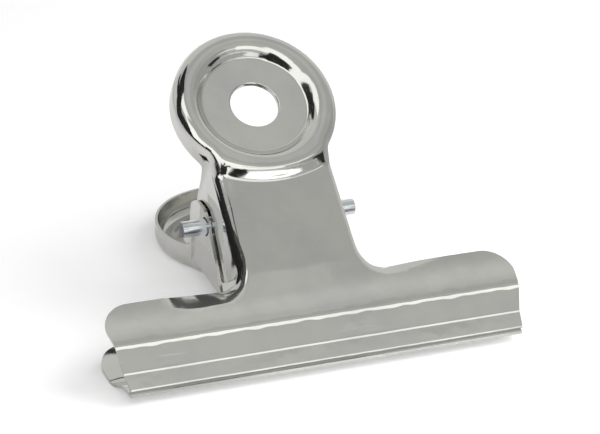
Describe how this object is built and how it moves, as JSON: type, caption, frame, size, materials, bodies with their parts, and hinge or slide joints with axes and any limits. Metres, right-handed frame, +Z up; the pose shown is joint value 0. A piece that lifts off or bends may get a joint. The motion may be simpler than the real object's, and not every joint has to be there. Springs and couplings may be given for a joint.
{
  "type": "letter clip",
  "caption": "Sprung nickel-plated steel letter clip: flanged plates with round thumb discs and long jaws, hinged on a pin, closed by a torsion spring.",
  "frame": {"origin": "on the table under the middle of the clip's bounding box, the clip lying on its rear plate", "axes": "+X along the hinge pin, +Y from the jaws to the thumb discs, +Z up from the table"},
  "size_m": [0.0766, 0.0678, 0.0431],
  "materials": {
    "front_plate": "bright nickel plate",
    "rear_plate": "bright nickel plate",
    "pivot_pin": "drawn wire, cut ends",
    "torsion_spring": "drawn spring wire"
  },
  "bodies": {
    "rear": {"rear_plate": "rear_plate", "pivot_pin": "pivot_pin", "torsion_spring": "torsion_spring"},
    "front": {"front_plate": "front_plate"}
  },
  "joints": [
    {"name": "jaw_hinge", "type": "hinge", "parent": "rear", "child": "front", "pos_m": [0, 0.00017, 0.01397], "axis": [-1, 0, 0], "range_deg": [0, 40], "stiffness_Nm_per_rad": 0.25, "springref_deg": -34.38, "deforming": ["torsion_spring"]}
  ]
}
